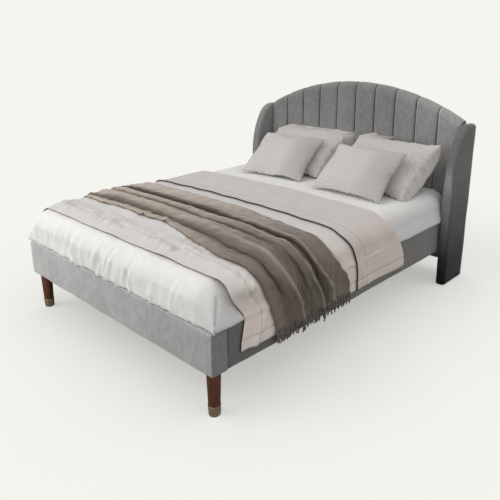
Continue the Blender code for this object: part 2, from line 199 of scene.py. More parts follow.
def spin_profile(bm, profile, centre, steps=64):
    """Turns (radius, height) points about an upright axis through centre."""
    points = [bm.verts.new((centre[0] + r, centre[1], z)) for r, z in profile]
    lines = [bm.edges.new(pair) for pair in zip(points, points[1:])]
    bmesh.ops.spin(bm, geom=points + lines, cent=(*centre, 0), axis=(0, 0, 1),
                   angle=math.tau, steps=steps, use_merge=True)
    bmesh.ops.remove_doubles(bm, verts=bm.verts, dist=1e-6)
    bmesh.ops.recalc_face_normals(bm, faces=bm.faces)


def tones(material, factor, *stops):
    """A colour ramp over (position, colour) stops, as the base colour."""
    outputs = add_node(material, "ValToRGB", Fac=factor)
    ramp = material.node_tree.nodes[-1].color_ramp
    for _ in range(len(stops) - 2):
        ramp.elements.new(0.5)
    for element, (position, colour) in zip(ramp.elements, stops):
        element.position = position
        element.color = (*colour, 1)
    return outputs["Color"]


def paint(material, factor, *stops):
    wire(material, tones(material, factor, *stops), "Base Color")


def emboss(material, height, strength, distance):
    """Raises and sinks the surface by a pattern."""
    raised = add_node(material, "Bump", Strength=strength, Distance=distance, Height=height)
    wire(material, raised["Normal"], "Normal")


def speckle(material, place, scale, detail, **more):
    return add_node(material, "TexNoise", Vector=place, Scale=scale, Detail=detail, **more)["Fac"]


def add_share(material, pattern, share, base):
    """Adds a share of one pattern to another."""
    return add_node(material, "Math", {"operation": "MULTIPLY_ADD"},
                    _0=pattern, _1=share, _2=base)["Value"]


walnut = make_material("walnut", (0.08, 0.03, 0.016), 0.38, Coat_Weight=0.25, Coat_Roughness=0.3)
place = add_node(walnut, "TexCoord")["Object"]
along = add_node(walnut, "Mapping", Vector=place, Scale=(1, 1, 0.09))["Vector"]
grain = speckle(walnut, along, 170, 6, Roughness=0.62, Distortion=0.35)
bands = speckle(walnut, along, 42, 3, Roughness=0.5, Distortion=1.2)
both = add_share(walnut, bands, 0.6, grain)
paint(walnut, both, (0.50, (0.046, 0.013, 0.006)), (0.72, (0.100, 0.031, 0.013)),
                   (0.98, (0.165, 0.058, 0.025)))
emboss(walnut, grain, 0.35, 0.0006)

brass = make_material("aged_brass", (0.33, 0.24, 0.15), 0.45, Metallic=0.6)
place = add_node(brass, "TexCoord")["Object"]
dents = add_node(brass, "TexVoronoi", {"feature": "SMOOTH_F1"},
                 Vector=place, Scale=210, Smoothness=0.4)["Distance"]
patina = speckle(brass, place, 95, 5, Roughness=0.6)
paint(brass, patina, (0.32, (0.17, 0.115, 0.070)), (0.50, (0.46, 0.34, 0.21)),
                  (0.70, (0.78, 0.62, 0.42)))
emboss(brass, dents, 0.9, 0.0012)

for side, sign in (LEFT, RIGHT):
    low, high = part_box(f"front_leg_{side}")
    axis = ((low.x + high.x) / 2, (low.y + high.y) / 2)
    top_radius = (high.x - low.x) / 2
    cup_low, cup_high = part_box(f"leg_ferrule_{side}")
    cup_radius = (cup_high.x - cup_low.x) / 2
    foot_radius = cup_radius - 0.0047
    leg = bmesh.new()
    spin_profile(leg, [(0, low.z), (foot_radius - 0.002, low.z), (foot_radius, low.z + 0.002),
                       (cup_radius - 0.0024, cup_high.z), (top_radius - 0.0006, high.z - 0.002),
                       (top_radius - 0.002, high.z), (0, high.z)], axis)
    make_piece(f"leg_{side}", leg, "bed_frame", walnut, "walnut", f"front_leg_{side}")
    cup = bmesh.new()
    rim = cup_high.z
    spin_profile(cup, [(0, 0), (foot_radius - 0.0005, 0), (foot_radius + 0.0012, 0.0007),
                       (foot_radius + 0.0018, 0.0025), (cup_radius - 0.0006, rim - 0.004),
                       (cup_radius, rim - 0.0025), (cup_radius, rim - 0.0008),
                       (cup_radius - 0.0008, rim), (cup_radius - 0.0018, rim - 0.0004),
                       (cup_radius - 0.0020, rim - 0.003), (foot_radius + 0.0005, 0.003),
                       (foot_radius - 0.001, 0.0018), (0, 0.0018)], axis)
    make_piece(f"leg_cup_{side}", cup, "bed_frame", brass, "aged_brass", f"leg_ferrule_{side}")


# ---- Low frame ----------------------------------------------------------------------
# The foot rail and side rails are boards wrapped in thin foam and grey velvet, pulled
# over rounded edges and stapled underneath. They meet in a close seam near each corner.

def scaled(material, colour, factor):
    """A colour made lighter or deeper by a factor."""
    return add_node(material, "VectorMath", {"operation": "SCALE"}, _0=colour, Scale=factor)["Vector"]


def run_along(material, place, axis):
    return add_node(material, "SeparateXYZ", Vector=place)[axis]


def make_velvet(name, shade, *painted_gradients):
    """Short-pile velvet, with light and shade painted into its colour.

    shade scales the whole colour, so that each call makes a lit or a shaded copy of the velvet.
    Each painted gradient is an axis, where it begins and ends, and how light it is at each.
    A piece's rim attribute paints a highlight and shade along its edges.
    """
    velvet = make_material(name, (0.27 * shade,) * 3, 0.9, Sheen_Weight=0.55, Sheen_Roughness=0.32,
                           Specular_IOR_Level=0.2)
    place = add_node(velvet, "TexCoord")["Object"]
    clouds = speckle(velvet, place, 5.5, 4, Roughness=0.55, Distortion=0.6)
    brushed = add_node(velvet, "Mapping", Vector=place, Scale=(1, 1, 0.4))["Vector"]
    nap = speckle(velvet, brushed, 75, 6, Roughness=0.7, Distortion=0.3)
    pile = speckle(velvet, place, 620, 2, Roughness=0.7)
    mottle = add_share(velvet, clouds, 0.5, nap)
    mottle = add_share(velvet, pile, 0.35, mottle)
    dark, middle, light = ((tone * shade, tone * 0.985 * shade, tone * 0.97 * shade)
                           for tone in (0.232, 0.270, 0.308))
    colour = tones(velvet, mottle, (0.70, dark), (0.925, middle), (1.15, light))
    for axis, start, end, first, last in painted_gradients:
        along = run_along(velvet, place, axis)
        turned = add_node(velvet, "MapRange", {"interpolation_type": "SMOOTHSTEP"}, Value=along,
                          _1=start, _2=end, _3=first, _4=last)["Result"]
        colour = scaled(velvet, colour, turned)
    # Painted highlight and painted shade along a piece's edges, from its rim attribute.
    rim = add_node(velvet, "Attribute", {"attribute_name": "rim"})["Fac"]
    painted_rim_light = add_node(velvet, "MapRange", Value=rim, _1=-1.0, _2=1.0, _3=0.3, _4=1.7)["Result"]
    colour = scaled(velvet, colour, painted_rim_light)
    wire(velvet, colour, "Base Color")
    fuzz = add_node(velvet, "Bump", Strength=0.5, Distance=0.0007, Height=pile)["Normal"]
    soft = add_node(velvet, "Bump", Strength=0.2, Distance=0.0015, Height=nap, Normal=fuzz)["Normal"]
    wire(velvet, soft, "Normal")
    return velvet


rail_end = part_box("foot_rail")[1].x
wing_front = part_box("wing_right")[0].y
# Lit and shaded copies of the velvet, with painted gradients: the foot rail is painted light, lighter at the
# left and darker on its two end returns; the headboard is lighter to the right; the side rails are darker
# towards the foot; both wings are darker towards the floor, and the right one is lighter along its front
# edge.
lit_foot_velvet = make_velvet("grey_velvet_lit_foot", 1.86, ("X", -0.8, 0.86, 1.06, 0.88),
                          ("X", rail_end - 0.009, rail_end - 0.002, 1.0, 0.60),
                          ("X", -rail_end + 0.002, -rail_end + 0.009, 0.60, 1.0))
velvet = make_velvet("grey_velvet", 0.94, ("X", 0.25, 0.75, 1.04, 1.50))
shaded_side_velvet = make_velvet("grey_velvet_shaded_sides", 0.70, ("Y", -1.0, 0.2, 0.92, 1.22))
shaded_wing_velvets = {"left": make_velvet("grey_velvet_wing_left_shaded", 1.05, ("Z", -0.1, 0.85, 0.35, 1.0)),
                "right": make_velvet("grey_velvet_wing_right_shaded", 0.66, ("Z", 0.0, 0.82, 0.08, 1.0),
                                     ("Y", wing_front + 0.006, wing_front + 0.022, 1.9, 1.0))}


def round_slab(outline, depth, radius, steps=5):
    """A flat outline given a depth, its two rims rounded by even insets."""
    bm = bmesh.new()
    face = bm.faces.new([bm.verts.new(point) for point in outline])
    pushed = bmesh.ops.extrude_face_region(bm, geom=[face])
    moved = [part for part in pushed["geom"] if isinstance(part, bmesh.types.BMVert)]
    direction = Vector(depth).normalized()
    bmesh.ops.translate(bm, vec=direction * radius, verts=bm.verts)
    bmesh.ops.translate(bm, vec=Vector(depth) - direction * 2 * radius, verts=moved)
    bmesh.ops.recalc_face_normals(bm, faces=bm.faces)
    caps = [part for part in bm.faces if len(part.verts) == len(outline)
            and abs(part.normal.dot(direction)) > 0.99]
    for cap in caps:
        for step in range(steps):
            before, after = (math.pi / 2 * s / steps for s in (step, step + 1))
            bmesh.ops.inset_region(bm, faces=[cap], use_even_offset=True,
                                   thickness=radius * (math.cos(before) - math.cos(after)),
                                   depth=radius * (math.sin(after) - math.sin(before)))
    return bm, caps


def cut_cells(bm, spacing):
    """Cuts a shape into cells along each axis, so that its surface can be worked."""
    for axis in range(3):
        normal = Vector((axis == 0, axis == 1, axis == 2))
        low = min(vert.co[axis] for vert in bm.verts)
        high = max(vert.co[axis] for vert in bm.verts)
        count = round((high - low) / spacing)
        for cut in range(1, count):
            bmesh.ops.bisect_plane(bm, geom=bm.verts[:] + bm.edges[:] + bm.faces[:], dist=1e-5,
                                   plane_co=normal * (low + (high - low) * cut / count), plane_no=normal)


def swell(bm, amount, size, seed):
    """Moves the surface in and out by up to amount, in soft lumps of about that size."""
    bm.normal_update()
    shift = Vector((seed * 7.3, seed * 3.1, seed * 1.7))
    moves = [vert.normal * amount * noise.noise(vert.co / size + shift) for vert in bm.verts]
    for vert, move in zip(bm.verts, moves):
        vert.co += move


cell_size = 0.03


def pad_board(bm, broad_seed, fine_seed):
    """Gives a covered board the slight broad and fine lumps of its thin foam."""
    cut_cells(bm, cell_size)
    swell(bm, 0.0022, 0.11, broad_seed)
    swell(bm, 0.0008, 0.03, fine_seed)


def corner(centre, radius, start, end, steps=5):
    """Points on an arc in a plane, from one angle in degrees to another."""
    angles = [math.radians(start + (end - start) * step / steps) for step in range(steps + 1)]
    return [(centre[0] + radius * math.cos(a), centre[1] + radius * math.sin(a)) for a in angles]


rail_low, rail_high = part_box("foot_rail")
inner_x = -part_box("side_rail_left")[1].x
board = rail_high.x - inner_x
nose, tuck = 0.010, 0.008
outline = corner((-rail_high.x + nose, rail_low.y + nose), nose, 180, 270)
outline += corner((rail_high.x - nose, rail_low.y + nose), nose, 270, 360)
outline += corner((rail_high.x - tuck, rail_high.y - tuck), tuck, 0, 90, 3)
outline += corner((inner_x + tuck, rail_high.y - tuck), tuck, 90, 180, 3)
outline += [(inner_x, rail_low.y + board), (-inner_x, rail_low.y + board)]
outline += corner((-inner_x - tuck, rail_high.y - tuck), tuck, 0, 90, 3)
outline += corner((-rail_high.x + tuck, rail_high.y - tuck), tuck, 90, 180, 3)
foot_rail, _ = round_slab([(x, y, rail_low.z) for x, y in outline],
                          (0, 0, rail_high.z - rail_low.z), 0.0072)
pad_board(foot_rail, 1, 2)
make_piece("foot_rail_cover", foot_rail, "bed_frame", lit_foot_velvet, "grey_velvet", "foot_rail")

for side, sign in (LEFT, RIGHT):
    low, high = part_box(f"side_rail_{side}")
    edge = 0.011
    outline = corner((high.x - edge, high.z - edge), edge, 0, 90)
    outline += corner((low.x + edge, high.z - edge), edge, 90, 180)
    outline += corner((low.x + edge, low.z + edge), edge, 180, 270)
    outline += corner((high.x - edge, low.z + edge), edge, 270, 360)
    side_rail, _ = round_slab([(x, low.y, z) for x, z in outline], (0, high.y - low.y, 0), tuck, 3)
    pad_board(side_rail, 3 + sign, 6 + sign)
    make_piece(f"side_rail_cover_{side}", side_rail, "bed_frame", shaded_side_velvet, "grey_velvet",
               f"side_rail_{side}")


# ---- Deck ---------------------------------------------------------------------------
# Pine slats, ledgers and a centre beam, planed and left bare, on two centre posts with
# steel levelling feet. The bolts and brackets are zinc plated, the glides black nylon.

pine = make_material("pine", (0.58, 0.42, 0.25), 0.6)
place = add_node(pine, "TexCoord")["Object"]
along = add_node(pine, "Mapping", Vector=place, Scale=(0.07, 1, 1))["Vector"]
rings = speckle(pine, along, 26, 4, Roughness=0.6, Distortion=1.6)
fibre = speckle(pine, along, 260, 4, Roughness=0.6)
figure = add_share(pine, fibre, 0.35, rings)
paint(pine, figure, (0.45, (0.34, 0.20, 0.10)), (0.62, (0.55, 0.38, 0.22)),
                 (0.88, (0.70, 0.54, 0.36)))
emboss(pine, fibre, 0.3, 0.0005)

zinc = make_material("zinc_steel", (0.55, 0.55, 0.56), 0.34, Metallic=1.0)
place = add_node(zinc, "TexCoord")["Object"]
spangle = add_node(zinc, "TexVoronoi", Vector=place, Scale=320)["Color"]
wire(zinc, add_node(zinc, "MapRange", Value=spangle, _3=0.28, _4=0.46)["Result"], "Roughness")
paint(zinc, spangle, (0.1, (0.45, 0.46, 0.47)), (0.9, (0.62, 0.62, 0.63)))

nylon = make_material("black_nylon", (0.02, 0.02, 0.02), 0.5)
place = add_node(nylon, "TexCoord")["Object"]
grit = speckle(nylon, place, 900, 2)
emboss(nylon, grit, 0.3, 0.0003)
paint(nylon, grit, (0.3, (0.015, 0.015, 0.015)), (0.7, (0.03, 0.03, 0.03)))

carried = {"pine": pine, "zinc_steel": zinc, "black_nylon": nylon}
for part in frame["record"]["subparts"]:
    finish = carried.get(part["material_slot"])
    if finish:
        node_mesh = frame["nodes"][part["node"]].data
        node_mesh.materials.clear()
        node_mesh.materials.append(finish)


# ---- Headboard ----------------------------------------------------------------------
# Ten foam channels are sewn side by side into one velvet cover, pulled over the arched
# core and stapled behind it, so each seam runs up the front and over the round top.

core_low, core_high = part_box("headboard_core")
wing_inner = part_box("wing_right")[0].x
arch_top = cad_high.z
arch_spring = 1.052               # height at which the round top meets the wings
channel_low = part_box("headboard_channel_05")[0]
channels = sorted(name for name in frame["nodes"] if name.startswith("headboard_channel"))


def arch(x):
    """Height of the headboard's round top at x."""
    rise = arch_top - arch_spring
    radius = (wing_inner ** 2 + rise ** 2) / (2 * rise)
    return arch_top - radius + math.sqrt(radius ** 2 - x ** 2)


def divided_cube(*cuts):
    """A cube from -1 to 1 whose edges along X, Y and Z are cut that many times."""
    bm = bmesh.new()
    bmesh.ops.create_cube(bm, size=2.0)
    for axis, count in enumerate(cuts):
        lying = [edge for edge in bm.edges
                 if abs((edge.verts[0].co - edge.verts[1].co).normalized()[axis]) > 0.5]
        bmesh.ops.subdivide_edges(bm, edges=lying, cuts=count, use_grid_fill=True)
    return bm


def shape_verts(bm, place):
    """Moves each vertex to where the rule puts it."""
    for vert in bm.verts:
        vert.co = place(*vert.co)
    bmesh.ops.recalc_face_normals(bm, faces=bm.faces)


crown_y, back_y = channel_low.y, core_high.y + 0.0006
roll = 0.046                      # radius of the round top, front to back


back_roll = 0.012                # and of its back edge
front_share, top_share = 0.62, 0.88      # of the cover's line that lie up the front, and up to the top


def cover_line(share, top, crown):
    """A point (y, z) on the padded outline, up the front, over the top and to the back."""
    front = channel_low.z
    if share < front_share:
        return crown, front + (top - roll - front) * share / front_share
    if share < top_share:
        turn = (share - front_share) / (top_share - front_share) * math.pi / 2
        return crown + roll * (1 - math.cos(turn)), top - roll + roll * math.sin(turn)
    run = (share - top_share) / (1 - top_share)
    start, flat_end = crown + roll, back_y - back_roll
    if run < 0.5:
        return start + (flat_end - start) * run * 2, top
    turn = (run - 0.5) * math.pi
    return flat_end + back_roll * math.sin(turn), top - back_roll * (1 - math.cos(turn))


seam_depth, seam_dip = 0.028, 0.004      # how far a seam sinks in front, and over the top

for number, node_name in enumerate(channels):
    low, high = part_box(node_name)
    middle, half = (low.x + high.x) / 2, (high.x - low.x) / 2

    def channel_place(u, v, w):
        u = math.sin(u * math.pi / 2)
        share = (w + 1) / 2
        plump = (1 - abs(u) ** 4.5) ** 0.5
        x = middle + half * u
        crown = crown_y + seam_depth * (1 - plump)
        top = arch(x) - seam_dip * (1 - plump)
        y, z = cover_line(share, top, crown)
        inside_y = min(back_y - 0.006, max(core_low.y + 0.001, y + 0.004))
        inside_z = min(z, arch(x) - 0.020)
        if v > 0:
            return Vector((x, inside_y, inside_z))
        return Vector((x, y, z))

    channel = divided_cube(30, 0, 60)
    shape_verts(channel, channel_place)
    # Painted light on each channel: a highlight down its left shoulder and shade down both seams, passed to
    # the velvet as the rim attribute.
    rim = channel.verts.layers.float.new("rim")
    for vert in channel.verts:
        side = (vert.co.x - middle) / half
        vert[rim] = 0.9 * math.exp(-((side + 0.90) / 0.055) ** 2) - math.exp(-((1 - abs(side)) / 0.035) ** 2)
    swell(channel, 0.0016, 0.09, 20 + number)
    pad = make_piece(f"channel_{number + 1:02d}", channel, "bed_frame", velvet, "grey_velvet", node_name)

arch_steps = 48


def arched_outline(half, y, bottom, below):
    """A board's outline, with a round top that stays below the headboard's own."""
    across = [half * (1 - 2 * step / arch_steps) for step in range(arch_steps + 1)]
    return [(-half, y, bottom), (half, y, bottom)] + [(x, y, arch(x) - below) for x in across]


for name, node_name, below, radius, steps in (
        ("headboard_board", "headboard_core", 0.022, 0.007, 4),
        ("back_cover", "headboard_back_panel", 0.016, 0.0022, 3)):
    low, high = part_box(node_name)
    slab, _ = round_slab(arched_outline(high.x, low.y, low.z, below), (0, high.y - low.y, 0), radius, steps)
    make_piece(name, slab, "bed_frame", velvet, "grey_velvet", node_name)


# ---- Wings --------------------------------------------------------------------------
# Two floor-length panels, padded round the front and top edges. A boxing band of
# velvet runs round the edge and is sewn to the side faces.

for side, sign in (LEFT, RIGHT):
    low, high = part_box(f"wing_{side}")
    thickness = high.x - low.x
    shoulder, crest = 0.580, 0.055      # heights of the curve's start, and depth left at the top
    set_back = 0.017                    # of the wing's foot
    reach = high.y - low.y
    steps = 26
    sweep = []
    for step in range(steps + 1):
        turn = math.pi / 2 * step / steps
        sweep.append((high.y - crest - (reach - crest) * max(0, math.cos(turn)) ** 0.9,
                      shoulder + (high.z - shoulder) * math.sin(turn) ** 0.9))
    outline = [(high.y, low.z), (high.y - reach + set_back, low.z)]
    outline += [(high.y - reach + set_back * (1 - z / shoulder), z) for z in (0.15, 0.30, 0.45)]
    outline += sweep + [(high.y, high.z - 0.003)]
    rounding = 0.026
    wing, caps = round_slab([(low.x, y, z) for y, z in outline], (thickness, 0, 0), rounding, 7)
    for cap in caps:
        for thick, deep in ((0.003, 0.0), (0.0018, -0.0016), (0.0018, 0.0016), (0.004, 0.0)):
            bmesh.ops.inset_region(wing, faces=[cap], use_even_offset=True, thickness=thick, depth=deep)
    for vert in wing.verts:
        if vert.co.z < low.z + rounding:
            vert.co.z = low.z + (vert.co.z - low.z) * 0.18
        if vert.co.y > high.y - rounding:
            vert.co.y = high.y - (high.y - vert.co.y) * 0.3
    cut_cells(wing, cell_size)
    swell(wing, 0.002, 0.12, 40 + sign)
    make_piece(f"wing_cover_{side}", wing, "bed_frame", shaded_wing_velvets[side], "grey_velvet", f"wing_{side}")


# ---- Mattress and fitted sheet ------------------------------------------------------
# A foam mattress in white ticking sits between the rails and swells over them. Its
# cotton sheet is pulled tight over the top, gathered at the foot and folded at corners.

def shape_points(bm, place):
    """Moves all vertices at once: place takes and returns an array of points."""
    points = np.array([vert.co for vert in bm.verts])
    for vert, point in zip(bm.verts, place(points)):
        vert.co = point
    bmesh.ops.recalc_face_normals(bm, faces=bm.faces)


def round_off(points, half, radius):
    """Rounds a block of half sizes about the origin; returns points and outward normals."""
    inner = np.clip(points, radius - half, half - radius)
    out = points - inner
    out /= np.maximum(np.linalg.norm(out, axis=1), 1e-9)[:, None]
    return inner + out * radius, out


def drift(a, b, size, seed):
    """Smooth random waves of about that size over two coordinates, from about -1 to 1."""
    dice = random.Random(seed)
    total = 0
    for _ in range(7):
        turn, length = dice.uniform(0, math.tau), size * dice.uniform(0.6, 1.7)
        total = total + np.sin((a * math.cos(turn) + b * math.sin(turn)) * math.tau / length
                               + dice.uniform(0, math.tau))
    return total / 3.2


def ease(low, high, values):
    share = np.clip((values - low) / (high - low), 0, 1)
    return share * share * (3 - 2 * share)


mat_low, mat_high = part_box("mattress")
rail_top = rail_high.z
ticking = make_material("white_ticking", (0.78, 0.77, 0.75), 0.85)
place = add_node(ticking, "TexCoord")["Object"]
threads = add_node(ticking, "TexWave", {"wave_type": "BANDS", "bands_direction": "X"},
                   Vector=place, Scale=90)["Fac"]
paint(ticking, threads, (0.2, (0.72, 0.71, 0.69)), (0.8, (0.80, 0.79, 0.77)))
emboss(ticking, threads, 0.3, 0.0008)


def edge_radius(height):
    """The foam is cut to a large radius round the top and a smaller one below."""
    return (0.016 + 0.084 * ease(-0.9, 0.4, height))[:, None]


def spread(points):
    """The foam spreads a little where it rests on the rails."""
    low_down = ease(0.54, 0.42, points[:, 2])
    points[:, 0] *= 1 + 0.030 * low_down
    points[:, 1] -= 0.003 * low_down * ease(-0.8, -1.0, points[:, 1])
    return points


def mattress_place(points):
    half = np.array([mat_high.x - 0.005, (mat_high.y - mat_low.y) / 2 - 0.005,
                     (mat_high.z - mat_low.z) / 2 - 0.003])
    made, _ = round_off(points * half, half, edge_radius(points[:, 2]))
    made = spread(made + (np.array(mat_low) + np.array(mat_high)) / 2)
    between = made[:, 2] < rail_top + 0.003
    made[between, 0] = np.clip(made[between, 0], 0.006 - inner_x, inner_x - 0.006)
    made[between, 1] = np.maximum(made[between, 1], rail_low.y + board + 0.004)
    return made


mattress = divided_cube(60, 70, 24)
shape_points(mattress, mattress_place)
mattress = make_piece("mattress_body", mattress, "mattress_set", ticking, "white_cotton", "mattress")

cotton = make_material("white_cotton", (0.89, 0.88, 0.865), 0.9, Sheen_Weight=0.1, Specular_IOR_Level=0.15)
place = add_node(cotton, "TexCoord")["Object"]
slubs = speckle(cotton, place, 34, 5, Roughness=0.6)
weave = speckle(cotton, place, 800, 2)
colour = tones(cotton, slubs, (0.35, (0.87, 0.86, 0.845)), (0.65, (0.92, 0.91, 0.90)))
# Painted shade: the sheet is darker down its right side.
shaded = add_node(cotton, "MapRange", Value=run_along(cotton, place, "X"),
                  _1=0.68, _2=0.79, _3=1.0, _4=0.84)["Result"]
wire(cotton, scaled(cotton, colour, shaded), "Base Color")
emboss(cotton, weave, 0.35, 0.0006)

sheet_foot = mat_low.y - 0.001
sheet_head = mat_high.y + 0.001
sheet_bottom = rail_top + 0.0015
sheet_top = mat_high.z + 0.0015
sheet_half = mat_high.x + 0.001


def gathers(x, z, seed, count):
    """Folds that run down the gathered foot of the sheet, each with its own lean and bow."""
    dice = random.Random(seed)
    total = np.zeros_like(x)
    drop = (sheet_top - z) / (sheet_top - sheet_bottom)
    for fold in range(count):
        start = dice.uniform(-0.78, 0.74)
        strength = 1.0 if start < 0.30 else 0.6
        lean, bow = dice.uniform(-0.13, -0.02), dice.uniform(0.02, 0.12)
        width = dice.uniform(0.009, 0.021)
        height = dice.choice((1, 1, 1, -0.7)) * dice.uniform(0.004, 0.0125) * strength
        middle, length = dice.uniform(0.45, 1.0), dice.uniform(0.25, 0.55)
        line = start + lean * drop + bow * drop * drop
        total += (height * np.exp(-((x - line) / width) ** 2)
                  * np.exp(-((drop - middle) / length) ** 2))
    return total


def sheet_place(points):
    run = (points[:, 1] + 1) / 2
    points = points.copy()
    points[:, 0] = 1.25 * points[:, 0] - 0.25 * points[:, 0] ** 3
    points[:, 1] = 2 * (0.25 * run + 0.75 * run ** 1.45) - 1
    half = np.array([sheet_half, (sheet_head - sheet_foot) / 2, (sheet_top - sheet_bottom) / 2])
    made, out = round_off(points * half, half, edge_radius(points[:, 2]))
    made = spread(made + np.array([0, (sheet_head + sheet_foot) / 2, (sheet_top + sheet_bottom) / 2]))
    x, y, z = made.T
    footward = np.clip(-out[:, 1], 0, 1)
    sideward = np.clip(np.abs(out[:, 0]), 0, 1)
    folds = gathers(x, z, 5, 70) * footward ** 0.7
    folds += 0.0045 * drift(x, z * 0.35, 0.16, 11) * footward
    sag = 0.0028 * drift(y, z * 0.6, 0.22, 12) * sideward + 0.0012 * drift(x, y, 0.12, 13)
    turn = np.degrees(np.arctan2(np.abs(out[:, 0]), -out[:, 1]))
    low_down = ease(0.575, 0.535, z)
    lap = 0.0080 * (1 - ease(54, 58, turn)) * ease(18, 44, turn) * low_down
    slit = -0.012 * np.exp(-((turn - 60) / 3.0) ** 2) * low_down
    made += out * (folds + sag + lap + slit)[:, None]
    for start, slope in ((0.255, 0.0), (0.345, 0.0), (-0.36, -0.9), (0.06, -0.45), (0.60, 0.7)):
        headward = y - 0.30
        crease = np.exp(-((x - start - slope * headward) / 0.011) ** 2) * np.exp(-(headward / 0.15) ** 2)
        sag = sag + 0.0042 * crease * (out[:, 2] > 0.7)
    hang = np.clip((sheet_bottom + 0.05 - z) / 0.05, 0, 1)
    made[:, 2] -= 0.0015 * hang * (1 + drift(x, y, 0.10, 14))
    made[:, 2] = np.maximum(made[:, 2], rail_top + 0.0006)
    return made


fitted = divided_cube(340, 118, 34)
bmesh.ops.delete(fitted, geom=[f for f in fitted.faces if f.normal.z < -0.9
                               and max(abs(f.calc_center_median().x), abs(f.calc_center_median().y)) < 0.95],
                 context="FACES")
shape_points(fitted, sheet_place)
fitted = make_piece("fitted_sheet", fitted, "mattress_set", cotton, "white_cotton")


def surfaces(pieces):
    """The pieces' surfaces, ready to be measured from."""
    found = []
    for piece in pieces:
        solid = bmesh.new()
        solid.from_mesh(piece.data)
        found.append(BVHTree.FromBMesh(solid))
        solid.free()
    return found


def keep_clear(piece, others, gap=0.0012, reach=0.09, inside=False):
    """Presses a piece's surface back to where the others leave it room.

    A point counts only where it lies square to the nearest face, not past the face's edge.
    """
    rests = surfaces(others)
    side = -1 if inside else 1
    for vert in piece.data.vertices:
        for rest in rests:
            point, normal, _, _ = rest.find_nearest(vert.co, reach)
            if point is not None:
                away = vert.co - point
                room = away.dot(normal) * side
                if room < gap and away.length < 1.2 * abs(room) + gap:
                    vert.co = point + normal * gap * side


keep_clear(mattress, [fitted], 0.001, 0.03, inside=True)


# ---- Duvet --------------------------------------------------------------------------
# A thin quilt in greige sateen, stitched in rows across the bed. Its head end is
# folded back on itself, and both of its short ends are piped in charcoal.

duvet_top = sheet_top + 0.003
duvet_side = 0.8035
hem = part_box("duvet")[0].z
bend = 0.060                     # radius over the mattress's edge


def over_bed(share, lift, side=duvet_side, top=duvet_top, low=hem, radius=bend):
    """Points (x, z), normals and path lengths on the line hem to hem across the bed.

    share runs from -1 at the left hem to 1 at the right hem.
    """
    flat, arc, drop = side - radius, math.pi / 2 * radius, top - radius - low
    length = np.abs(share) * (flat + arc + drop)
    turn = np.clip((length - flat) / arc, 0, 1) * math.pi / 2
    down = np.clip(length - flat - arc, 0, None)
    x = np.minimum(length, flat) + radius * np.sin(turn)
    z = top - radius * (1 - np.cos(turn)) - down
    nx, nz = np.sin(turn), np.cos(turn)
    sign = np.sign(share)
    return sign * (x + nx * lift), z + nz * lift, sign * nx, nz, sign * length


def fallen(z):
    """0 on the bed's top, 1 at the hem."""
    return np.clip((duvet_top - z) / (duvet_top - hem), 0, 1)


def duvet_foot(z):
    down = fallen(z)
    return -1.010 + 0.092 * ease(0.08, 0.6, down) - 0.024 * ease(0.5, 1, down)


def duvet_head(z):
    return 0.190 + 0.188 * np.sin(fallen(z) * math.pi / 2) ** 1.05


def duvet_fold(z):
    return -0.205 + 0.107 * np.sin(np.clip(fallen(z) / 0.75, 0, 1) * math.pi / 2)


def onto_bed(points, lift):
    """Lays points on the mattress's rounded top and foot, lift above it, and straight down past it."""
    radius = 0.104 - 0.042 * ease(-0.70, -0.95, points[:, 1]) * ease(0, 0.4, points[:, 0])
    inner = points.copy()
    inner[:, 0] = np.clip(points[:, 0], radius - duvet_side, duvet_side - radius)
    inner[:, 1] = np.maximum(points[:, 1], sheet_foot + radius)
    inner[:, 2] = np.minimum(points[:, 2], sheet_top + 0.001 - radius)
    out = points - inner
    out /= np.maximum(np.linalg.norm(out, axis=1), 1e-9)[:, None]
    return inner + out * (radius + lift)[:, None]


def crowned(x, y):
    """How far the bedding stands up off the mattress towards the bed's middle."""
    return 0.022 * np.clip(1 - (x / 0.80) ** 2, 0, 1) * ease(-1.0, -0.72, y)


def smocked(a, b, size, seed):
    """Short slanting puckers, sharper on one side than the other."""
    waves = 0.7 * drift(a + 0.5 * b, b * 0.5, size, seed) + 0.5 * drift(a, b * 0.8, size * 2.1, seed + 1)
    strength = np.clip(0.55 + 0.6 * drift(a, b, 0.40, seed + 2), 0.1, 1.3)
    return np.sign(waves) * np.abs(waves) ** 1.4 * strength


duvet_width, duvet_length = 2.10, 1.62
quilt_rows = (0.098, 0.293, 0.488, 0.683)     # from the foot edge
duvet_run = 1.215                             # on top, from the foot edge to the fold
border_share, border_hem = 0.78, 0.050        # stitched lines by the turned-back edge and the hems
roll_share, back_share = 0.74, 0.77
outside, inside_out = (0.955, 0.915, 0.89), (0.86, 0.80, 0.77)
sateen = make_material("greige_sateen", (0.64, 0.59, 0.565), 0.55, Sheen_Weight=0.25, Sheen_Roughness=0.4,
                       Specular_IOR_Level=0.3)
laid = add_node(sateen, "UVMap", {"uv_map": "cloth"})["UV"]
along = run_along(sateen, laid, "Y")
turned = add_node(sateen, "MapRange", Value=along, _1=1.19, _2=1.20)["Result"]
twill = speckle(sateen, laid, 700, 2)
shade = speckle(sateen, laid, 9, 4)
two_sided = add_node(sateen, "Mix", {"data_type": "RGBA"}, _0=turned,
                     _6=(*outside, 1), _7=(*inside_out, 1))[2]
toned = tones(sateen, shade, (0.3, (0.93, 0.93, 0.93)), (0.7, (1, 1, 1)))
colour = add_node(sateen, "Mix", {"data_type": "RGBA", "blend_type": "MULTIPLY"}, _0=1.0, _6=two_sided,
                  _7=toned)[2]
from_middle = add_node(sateen, "Math", {"operation": "ABSOLUTE"},
                       _0=run_along(sateen, laid, "X"))["Value"]
